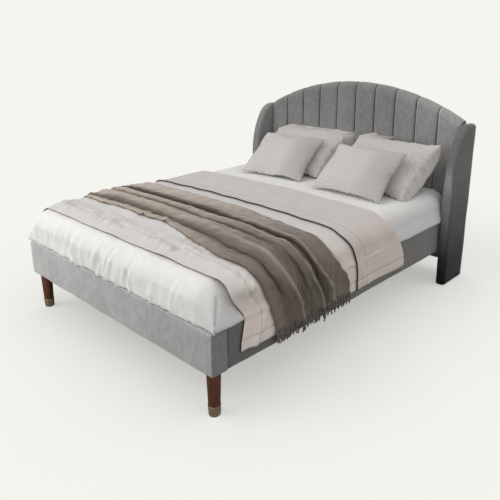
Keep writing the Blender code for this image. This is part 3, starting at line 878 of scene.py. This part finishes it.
# Painted light: the duvet is darker over the top of the bed and lighter and warmer down its hanging sides.
painted_drop_light = tones(sateen, from_middle, (0.68, (0.79, 0.79, 0.79)), (0.86, (0.99, 0.93, 0.885)))
colour = add_node(sateen, "VectorMath", {"operation": "MULTIPLY"}, _0=colour, _1=painted_drop_light)["Vector"]
# Painted shade along the stitched lines: the side hems, the line by the turned-back edge and the quilted
# rows.
for measure, line in ((from_middle, duvet_width / 2 - border_hem),
                      (along, duvet_length * (back_share + (1 - back_share) * border_share)),
                      *((along, duvet_length * roll_share * row / duvet_run) for row in quilt_rows)):
    off = add_node(sateen, "Math", {"operation": "COMPARE"}, _0=measure, _1=line, _2=0.0020)["Value"]
    painted_stitch_shade = add_node(sateen, "MapRange", Value=off, _3=1.0, _4=0.66)["Result"]
    colour = scaled(sateen, colour, painted_stitch_shade)
wire(sateen, colour, "Base Color")
emboss(sateen, twill, 0.25, 0.0005)


def lay_duvet(share, run):
    """Where a point of the duvet lies; run goes from 0 at the foot edge to 1 at the fold's edge."""
    x, z, _, _, across = over_bed(share, 0.0)
    first = np.clip(run / roll_share, 0, 1)
    turning = np.clip((run - roll_share) / (back_share - roll_share), 0, 1) * math.pi
    second = np.clip((run - back_share) / (1 - back_share), 0, 1)
    foot, head, fold = duvet_foot(z), duvet_head(z), duvet_fold(z)
    y = foot + (head - foot) * first
    layer = 0.0095
    y = np.where(run > roll_share, head + 0.006 * np.sin(turning), y)
    y = np.where(run > back_share, head + (fold - head) * second, y)
    upper = layer * (1 - np.cos(turning)) / 2
    from_foot = duvet_run * first
    near = sum(np.exp(-((from_foot - row) / 0.06) ** 2) for row in quilt_rows)
    groove = sum(np.exp(-((from_foot - row) / 0.007) ** 2) for row in quilt_rows)
    single = 1 - ease(roll_share - 0.02, roll_share, run)
    flat = 1 - ease(0.0, 0.45, fallen(z))
    covered = 1 - 0.85 * ease(-0.80, -0.74, y) * ease(-0.25, -0.30, y) * (run < roll_share)
    puckers = 0.0165 * near * (0.8 + smocked(across, from_foot, 0.060, 21)) * (0.12 + 0.88 * flat)
    lift = single * covered * (puckers - 0.0035 * groove)
    stitched = np.exp(-((second - border_share) / 0.014) ** 2) * (run > back_share)
    hemmed = np.exp(-((z - hem - border_hem) / 0.006) ** 2)
    lift = lift - 0.0030 * stitched - 0.0026 * hemmed
    lift = lift + 0.0030 * (1 + drift(across, y, 0.26, 22)) * (0.3 + 0.7 * flat)
    hang = ease(0.15, 1, fallen(z))
    ridge = np.exp(-((y - (-0.86 + 0.16 * (1 - fallen(z)))) / 0.022) ** 2)
    ridge += 0.8 * np.exp(-((y - (0.02 - 0.22 * (1 - fallen(z)))) / 0.035) ** 2)
    lift = lift + hang * (0.006 * (1 + drift(y, z * 0.3, 0.33, 23)) + 0.009 * ridge)
    lift = np.maximum(lift, 0.0004) + upper + crowned(x, y)
    return onto_bed(np.stack([x, y, z], axis=1), lift)


def lay_cloth(name, across_cuts, along_cuts, lay, thickness, size, body, material, slot, *nodes):
    """A sheet as a fine grid laid by a rule, with its flat measure as its UV map, and a thickness."""
    bm = bmesh.new()
    bmesh.ops.create_grid(bm, x_segments=across_cuts, y_segments=along_cuts, size=1.0)
    cloth = bm.loops.layers.uv.new("cloth")
    for face in bm.faces:
        for loop in face.loops:
            loop[cloth].uv = (loop.vert.co.x * size[0] / 2, (loop.vert.co.y + 1) / 2 * size[1])
    points = np.array([vert.co for vert in bm.verts])
    for vert, point in zip(bm.verts, lay(points[:, 0], (points[:, 1] + 1) / 2)):
        vert.co = point
    bm.normal_update()
    if sum(face.normal.z * face.calc_area() for face in bm.faces) < 0:
        bmesh.ops.reverse_faces(bm, faces=bm.faces)
    made = make_piece(name, bm, body, material, slot, *nodes)
    wall = made.modifiers.new("thickness", "SOLIDIFY")
    wall.thickness = thickness
    wall.offset = 1
    return made


def run_cord(name, points, radius, body, material, slot):
    """A cord sewn along a line, as a mesh."""
    line = bpy.data.curves.new(name, "CURVE")
    line.dimensions = "3D"
    line.bevel_depth = radius
    line.bevel_resolution = 2
    line.use_fill_caps = True
    spline = line.splines.new("POLY")
    spline.points.add(len(points) - 1)
    for knot, point in zip(spline.points, points):
        knot.co = (*point, 1)
    guide = bpy.data.objects.new(name + "_guide", line)
    bpy.context.scene.collection.objects.link(guide)
    mesh = bpy.data.meshes.new_from_object(guide.evaluated_get(bpy.context.evaluated_depsgraph_get()))
    bpy.data.objects.remove(guide)
    bm = bmesh.new()
    bm.from_mesh(mesh)
    bpy.data.meshes.remove(mesh)
    return make_piece(name, bm, body, material, slot)


duvet = lay_cloth("duvet_cover", 250, 178, lay_duvet, 0.0042, (duvet_width, duvet_length),
                  "mattress_set", sateen, "greige_sateen", "duvet")
keep_clear(duvet, [fitted], 0.001, 0.05)
charcoal = make_material("charcoal_piping", (0.045, 0.042, 0.042), 0.8)
place = add_node(charcoal, "TexCoord")["Object"]
ply = speckle(charcoal, place, 500, 2)
paint(charcoal, ply, (0.3, (0.022, 0.020, 0.020)), (0.7, (0.055, 0.051, 0.051)))
edge_run = np.linspace(-1, 1, 260)
for end, run in (("foot", 0.0), ("fold", 1.0)):
    line = lay_duvet(edge_run, np.full_like(edge_run, run))
    _, _, nx, nz, _ = over_bed(edge_run, 0.0)
    line += np.stack([nx, np.zeros_like(nx), nz], axis=1) * 0.0022
    radius = 0.0020 if end == "foot" else 0.0040
    run_cord(f"duvet_piping_{end}", line, radius, "mattress_set", charcoal, "greige_sateen")


# ---- Throw --------------------------------------------------------------------------
# A taupe plush throw, pushed up into pleats across the bed so that it fans out down
# each side. Its ends are finished with a fringe of twisted tassels.

throw_hem = 0.305
throw_width, throw_length = 2.05, 0.66
# Each pleat: its share of the way across on top and at the hem, its height, how far it
# rolls over the one before, how early its crest comes (1 is the middle), its hem crest.
pleats = ((0.000, 0.000, 0.009, 0.0, 0.60, 0.50), (0.112, 0.170, 0.040, 0.62, 0.95, 0.56),
          (0.417, 0.420, 0.030, 0.55, 0.95, 0.70), (0.578, 0.625, 0.034, 0.42, 0.50, 0.31))

plush = make_material("taupe_plush", (0.33, 0.28, 0.24), 0.85, Sheen_Weight=0.6, Sheen_Roughness=0.3,
                      Specular_IOR_Level=0.15)
laid = add_node(plush, "UVMap", {"uv_map": "cloth"})["UV"]
pile = speckle(plush, laid, 420, 3, Roughness=0.7)
brushed = speckle(plush, laid, 14, 4, Roughness=0.6)
lie = add_share(plush, pile, 0.3, brushed)
colour = tones(plush, lie, (0.45, (0.345, 0.286, 0.238)), (0.65, (0.395, 0.330, 0.278)),
               (0.90, (0.45, 0.382, 0.326)))
across_pleats = run_along(plush, laid, "Y")
pleat_share = add_node(plush, "Math", {"operation": "DIVIDE"}, _0=across_pleats, _1=throw_length)["Value"]
# Painted light and shade across the pleats: dark in each crease and light on each crest, on top of the bed
# and down its sides, with a dark line at the foot edge.
painted_levels_top = ((0.0, 0.30), (0.018, 0.92), (0.19, 1.0), (0.24, 0.45), (0.262, 0.24), (0.32, 0.34), (0.36, 0.68),
          (0.41, 0.92), (0.45, 0.72), (0.50, 0.34), (0.55, 0.50), (0.60, 0.84), (0.66, 0.90), (0.72, 0.45),
          (0.757, 0.22), (0.805, 0.36), (0.85, 0.72), (0.90, 0.92), (0.985, 0.88), (1.0, 0.5))
painted_levels_drop = ((0.0, 0.5), (0.018, 0.62), (0.10, 0.66), (0.25, 0.42), (0.33, 0.50), (0.374, 0.62), (0.390, 1.0),
           (0.408, 0.52), (0.45, 0.42), (0.50, 0.36), (0.60, 0.52), (0.658, 0.62), (0.675, 1.0),
           (0.694, 0.46), (0.75, 0.22), (0.795, 0.34), (0.815, 0.66), (0.829, 0.96), (0.848, 0.54),
           (0.93, 0.62), (1.0, 0.5))
painted_pleat_light_top, painted_pleat_light_drop = (tones(plush, pleat_share, *((at, (level,) * 3) for at, level in levels))
                           for levels in (painted_levels_top, painted_levels_drop))
across_bed = run_along(plush, laid, "X")
fallen_share = add_node(plush, "MapRange", {"interpolation_type": "SMOOTHSTEP"}, Value=across_bed,
                        _1=0.10, _2=0.66)["Result"]
painted_pleat_light = add_node(plush, "Mix", {"data_type": "RGBA"}, _0=fallen_share, _6=painted_pleat_light_top, _7=painted_pleat_light_drop)[2]
colour = add_node(plush, "VectorMath", {"operation": "MULTIPLY"}, _0=colour, _1=painted_pleat_light)["Vector"]
# Painted sheen: the throw is lighter towards the left of the bed.
painted_sheen_left = add_node(plush, "MapRange", Value=across_bed, _1=-0.8, _2=0.65, _3=1.62, _4=0.98)["Result"]
wire(plush, scaled(plush, colour, painted_sheen_left),
     "Base Color")
emboss(plush, pile, 0.4, 0.0009)


def throw_fallen(z):
    """0 on the bed's top, 1 at the throw's hem."""
    return np.clip((duvet_top + 0.01 - z) / (duvet_top - throw_hem), 0, 1)


def throw_foot(x, z):
    down = throw_fallen(z)
    edge = -0.766 + 0.006 * drift(x, 0 * x, 0.34, 31) * (1 - down)
    return edge + 0.031 * down - 0.100 * ease(0.05, 0.62, x) * (1 - down) ** 1.3


def throw_head(x, z):
    down = throw_fallen(z)
    edge = -0.300 + 0.004 * drift(x, 0 * x, 0.5, 32) - 0.040 * ease(0.1, 0.65, x) * (1 - down) ** 1.3
    return edge + 0.135 * ease(0.06, 0.95, down)


def lay_throw(share, run):
    """Where a point of the throw lies; run goes from 0 at its foot edge to 1 at its head edge."""
    throw_top = duvet_top + 0.008
    x, z, _, _, across = over_bed(share, 0.0, duvet_side + 0.006, throw_top, throw_hem, bend + 0.006)
    down = np.clip((throw_top - z) / (throw_top - throw_hem), 0, 1)
    opened = ease(0.10, 0.75, down)
    foot, head = throw_foot(x, z), throw_head(x, z)
    count = len(pleats)
    table = np.array(pleats + ((1.0, 1.0, 0, 0, 1, 0),))
    creases = []
    for number in range(count + 1):
        gathered = table[number, 0] + 0.085 * ease(0.05, 0.60, x) * (0 < number < count)
        where = gathered * (1 - opened) + table[number, 1] * opened
        wander = 0.010 * drift(across, 0 * across, 0.8, 40 + number) * (0 < number < count)
        creases.append(foot + (head - foot) * where + wander)
    creases = np.array(creases)
    cell = np.clip((run * count).astype(int), 0, count - 1)
    part = run * count - cell
    rows = np.arange(len(run))
    near, far = creases[cell, rows], creases[cell + 1, rows]
    tall, lean, skew, crest = (table[cell, column] for column in (2, 3, 4, 5))
    alive = (0.82 + 0.22 * drift(across, cell * 5.0, 0.55, 33)) * (1 - 0.6 * ease(0.52, 0.80, -x))
    rolled = np.sin(math.pi * part ** skew) ** 0.85
    ridge = np.exp(-((part - crest) / 0.065) ** 2) * 0.9
    ridge += 0.25 * (np.exp(-((part - crest) / 0.3) ** 2) - np.exp(-(crest / 0.3) ** 2) * (1 - part))
    stand = tall * alive * (rolled * (1 - opened) + 0.75 * ridge * (cell > 0) * opened)
    rolled_over = part - lean * np.sin(math.pi * part) * (1 - part) * (1 - opened)
    y = near + (far - near) * rolled_over
    side_folds = ease(0.35, 0.75, np.abs(x)) * (1 - ease(0.5, 1.0, down))
    small = 0.0065 * side_folds * np.abs(drift(y + 0.10 * np.abs(across), 0 * y, 0.055, 36))
    fine = np.exp(-(((run * 11 + 0.25 * np.sin(across * 9)) % 1 - 0.5) / 0.16) ** 2)
    small += 0.0060 * fine * side_folds * (np.abs(run - 0.51) < 0.20)
    lift = 0.0095 + stand + small + 0.0024 * drift(across, y * 1.3, 0.070, 34)
    lift += opened * 0.003 * (1 + drift(y, z * 0.2, 0.2, 35))
    flat_band = 1 - ease(0.16, 0.24, run)
    for start, slope, width, height in ((-0.12, 0.5, 0.012, 0.012), (0.07, -1.1, 0.020, 0.010),
                                        (-0.36, 0.9, 0.016, 0.006)):
        lift += height * np.exp(-((x - start - slope * (y - foot)) / width) ** 2) * flat_band
    lift += crowned(x, y) + 0.003 * (1 - opened)
    return onto_bed(np.stack([x, y, z], axis=1), np.maximum(lift, 0.0055) + 0.007 * opened)


throw = lay_cloth("throw_cover", 210, 220, lay_throw, 0.0022, (throw_width, throw_length),
                  "mattress_set", plush, "taupe_plush", "throw")
keep_clear(throw, [duvet], 0.0056, 0.04)

tassels = bpy.data.curves.new("fringe", "CURVE")
tassels.dimensions = "3D"
tassels.bevel_depth = 0.0042
tassels.bevel_resolution = 1
tassels.use_fill_caps = True
dice = random.Random(8)
tassel_count, knots = 38, 13
for sign in (-1, 1):
    roots = lay_throw(np.full(tassel_count, float(sign)), np.linspace(0.006, 0.994, tassel_count))
    for root in roots:
        swing, sway = dice.uniform(-0.006, 0.006), dice.uniform(-0.003, 0.004)
        length, curl = dice.uniform(0.063, 0.068), dice.uniform(0, math.tau)
        for ply in (0, math.pi):
            spline = tassels.splines.new("POLY")
            spline.points.add(knots - 1)
            for index, knot in enumerate(spline.points):
                share = index / (knots - 1)
                turn = ply + curl + share * math.tau * 1.3
                reach = 0.0026 * math.sin(math.pi * min(1, share * 1.1 + 0.15)) + 0.0006
                knot.co = (root[0] + sign * (0.0040 + sway * share) + reach * math.cos(turn),
                           root[1] + swing * share * share + 0.003 * math.sin(share * 7 + curl)
                           + reach * math.sin(turn),
                           root[2] + 0.001 - length * share, 1)
                knot.radius = 1.0 - 0.2 * share
fringe_guide = bpy.data.objects.new("fringe_guide", tassels)
bpy.context.scene.collection.objects.link(fringe_guide)
drawn = fringe_guide.evaluated_get(bpy.context.evaluated_depsgraph_get())
fringe_mesh = bpy.data.meshes.new_from_object(drawn)
bpy.data.objects.remove(fringe_guide)
fringe = bmesh.new()
fringe.from_mesh(fringe_mesh)
yarn = make_material("twisted_yarn", (0.16, 0.13, 0.11), 0.85, Sheen_Weight=0.3)
place = add_node(yarn, "TexCoord")["Object"]
strand = speckle(yarn, place, 140, 3)
paint(yarn, strand, (0.35, (0.085, 0.066, 0.054)), (0.65, (0.23, 0.19, 0.16)))
fringe = make_piece("throw_fringe", fringe, "mattress_set", yarn, "taupe_plush")


# ---- Pillows and cushions -----------------------------------------------------------
# Linen pillows lean on the headboard and ribbed cushions lean on them. Each case is
# two panels sewn round the edge and filled, so it pinches at the corners.

linen = make_material("heathered_linen", (0.62, 0.60, 0.58), 0.9, Sheen_Weight=0.15, Specular_IOR_Level=0.15)
laid = add_node(linen, "UVMap", {"uv_map": "cloth"})["UV"]
flecks = speckle(linen, laid, 55, 5, Roughness=0.7)
threads = speckle(linen, laid, 650, 2)
paint(linen, flecks, (0.36, (0.53, 0.505, 0.48)), (0.62, (0.68, 0.66, 0.64)))
emboss(linen, threads, 0.3, 0.0006)

ribbed = make_material("ribbed_cotton", (0.72, 0.695, 0.69), 0.9, Sheen_Weight=0.15, Specular_IOR_Level=0.15)
laid = add_node(ribbed, "UVMap", {"uv_map": "cloth"})["UV"]
slanted = add_node(ribbed, "Mapping", Vector=laid, Rotation=(0, 0, math.radians(12)))["Vector"]
ribs = add_node(ribbed, "TexWave", {"bands_direction": "Y"}, Vector=slanted, Scale=26, Distortion=0.6,
                Detail=1, Detail_Scale=2)["Fac"]
cross = add_node(ribbed, "TexWave", {"bands_direction": "X"}, Vector=slanted, Scale=34)["Fac"]
waffle = add_share(ribbed, cross, 0.3, ribs)
colour = tones(ribbed, waffle, (0.1, (0.50, 0.475, 0.47)), (0.7, (0.82, 0.795, 0.79)))
# Painted shade: each cushion is darker towards its right side.
turned = add_node(ribbed, "MapRange", {"interpolation_type": "SMOOTHSTEP"},
                  Value=run_along(ribbed, laid, "X"), _1=0.03, _2=0.17, _3=1.0, _4=0.82)["Result"]
wire(ribbed, scaled(ribbed, colour, turned), "Base Color")
emboss(ribbed, waffle, 0.9, 0.0035)


def sew_case(width, height, cells):
    """Two flat panels sewn together round their edge, with their flat measure as a UV map."""
    bm = divided_cube(cells, round(cells * height / width), 0)
    cloth = bm.loops.layers.uv.new("cloth")
    for face in bm.faces:
        for loop in face.loops:
            loop[cloth].uv = (loop.vert.co.x * width / 2, loop.vert.co.y * height / 2)
    for vert in bm.verts:
        u, v, w = vert.co
        edge = min(1 - abs(u), 1 - abs(v))
        vert.co = (u * width / 2, v * height / 2, w * (0.0008 + 0.012 * min(1, edge * 4)))
    rim = [vert for vert in bm.verts if abs(vert.co.z) < 0.001]
    bmesh.ops.remove_doubles(bm, verts=rim, dist=0.0017)
    bmesh.ops.recalc_face_normals(bm, faces=bm.faces)
    return bm


def fill_case(bm, pressure, frames):
    """Blows a case up as cloth, then gives it back as a bmesh."""
    mesh = bpy.data.meshes.new("case")
    bm.to_mesh(mesh)
    case = bpy.data.objects.new("case", mesh)
    bpy.context.scene.collection.objects.link(case)
    cloth = case.modifiers.new("cloth", "CLOTH")
    settings = cloth.settings
    settings.quality = 5
    settings.mass = 0.25
    settings.tension_stiffness = settings.compression_stiffness = 25
    settings.shear_stiffness = 12
    settings.bending_stiffness = 0.25
    settings.tension_damping = settings.compression_damping = 12
    settings.air_damping = 4
    settings.use_pressure = True
    settings.uniform_pressure_force = pressure
    settings.effector_weights.gravity = 0
    cloth.collision_settings.use_self_collision = False
    cloth.point_cache.frame_start, cloth.point_cache.frame_end = 1, frames
    for moment in range(1, frames + 1):
        bpy.context.scene.frame_set(moment)
    filled = bmesh.new()
    blown = case.evaluated_get(bpy.context.evaluated_depsgraph_get())
    filled.from_mesh(bpy.data.meshes.new_from_object(blown))
    bpy.data.objects.remove(case)
    bpy.context.scene.frame_set(1)
    return filled


even_share = 0.62                # of an even filling in a case's shape; the rest is as cloth blows up


def lay_case(name, size, cells, thickness, place, tilt, turn, pinch, seed,
             material, slot, front, behind, gusset=0.0):
    """A case filled out with foam flakes: its sides stay nearly straight and its corners sharp.

    front and behind are how far each panel swells, against an even filling, and
    gusset is how far the back panel spreads out past the seam at the two ends.
    """
    bm = sew_case(*size, cells)
    flat = np.array([vert.co for vert in bm.verts])
    u, v = flat[:, 0] / (size[0] / 2), flat[:, 1] / (size[1] / 2)
    plump = ((1 - np.abs(u) ** 2.6) * (1 - np.abs(v) ** 2.3)).clip(0, 1) ** 0.55
    seamed = np.maximum(np.abs(u), np.abs(v)) > 0.999
    full = np.stack([flat[:, 0] * (1 - pinch * (1 - v * v)), flat[:, 1] * (1 - pinch * 1.4 * (1 - u * u)),
                     np.where(seamed, 0, np.sign(flat[:, 2]) * plump * thickness / 2)], axis=1)
    case = fill_case(bm, 6.0, 26)
    blown = np.array([vert.co for vert in case.verts])
    blown[:, 2] *= thickness / 2 / np.abs(blown[:, 2]).max()
    made = full * even_share + blown * (1 - even_share)
    made[:, 2] *= np.where(flat[:, 2] > 0, front, behind)
    edge = np.minimum((1 - np.abs(u)) * size[0] / 2, (1 - np.abs(v)) * size[1] / 2)
    run = np.where((1 - np.abs(u)) * size[0] < (1 - np.abs(v)) * size[1], flat[:, 1], flat[:, 0])
    ruched = np.exp(-np.maximum(edge - 0.012, 0) / 0.030) * np.minimum(edge / 0.008, 1)
    made[:, 2] += np.sign(flat[:, 2]) * 0.0042 * ruched * drift(run, edge * 0.25, 0.026, seed)
    made[:, 2] += 0.006 * drift(u, v, 1.1, seed + 1) + 0.0022 * plump * drift(u, v, 0.45, seed + 2)
    seam = np.minimum(edge / 0.02, 1)
    ends = np.exp(-((np.abs(u) - 0.90) / 0.13) ** 2) * (1 - v * v).clip(0, 1) ** 0.4
    spread_out = gusset * (flat[:, 2] < 0) * ends * seam
    made[:, 0] += np.sign(u) * spread_out
    made[:, 2] -= 1.2 * spread_out
    made[:, 1] += 0.0016 * (1 - seam) * drift(run, 0 * run, 0.035, seed + 3)
    for vert, point in zip(case.verts, made):
        vert.co = point
    lean = Matrix.Rotation(math.radians(turn), 4, "Z") @ Matrix.Rotation(math.radians(tilt), 4, "X")
    bmesh.ops.transform(case, matrix=Matrix.Translation(place) @ lean, verts=case.verts)
    return make_piece(name + "_case", case, name, material, slot, name)


bedded = {}
for name, size, thickness, place, tilt, turn, seed in (
        ("pillow_left", (0.68, 0.50), 0.185, (-0.328, 0.782, 0.766), 35, 0, 60),
        ("pillow_right", (0.68, 0.48), 0.190, (0.408, 0.735, 0.768), 40, -8, 70)):
    bedded[name] = lay_case(name, size, 80, thickness, place, tilt, turn, 0.035, seed,
                            linen, "linen", 0.66, 1.15, 0.038)
for name, size, thickness, place, tilt, turn, seed in (
        ("cushion_left", (0.51, 0.42), 0.150, (-0.303, 0.580, 0.742), 35, 8, 80),
        ("cushion_right", (0.53, 0.39), 0.150, (0.385, 0.515, 0.752), 41, -1, 90)):
    bedded[name] = lay_case(name, size, 78, thickness, place, tilt, turn, 0.03, seed,
                            ribbed, "ribbed_cotton", 1.1, 0.45)
top_of_bed = [bpy.data.objects["fitted_sheet"]]
padding = [bpy.data.objects[f"channel_{n:02d}"] for n in range(1, 11)]
for name, others in (("pillow_left", top_of_bed + padding), ("pillow_right", top_of_bed + padding),
                     ("cushion_left", top_of_bed + [bedded["pillow_left"]]),
                     ("cushion_right", top_of_bed + [bedded["pillow_right"]])):
    keep_clear(bedded[name], others)
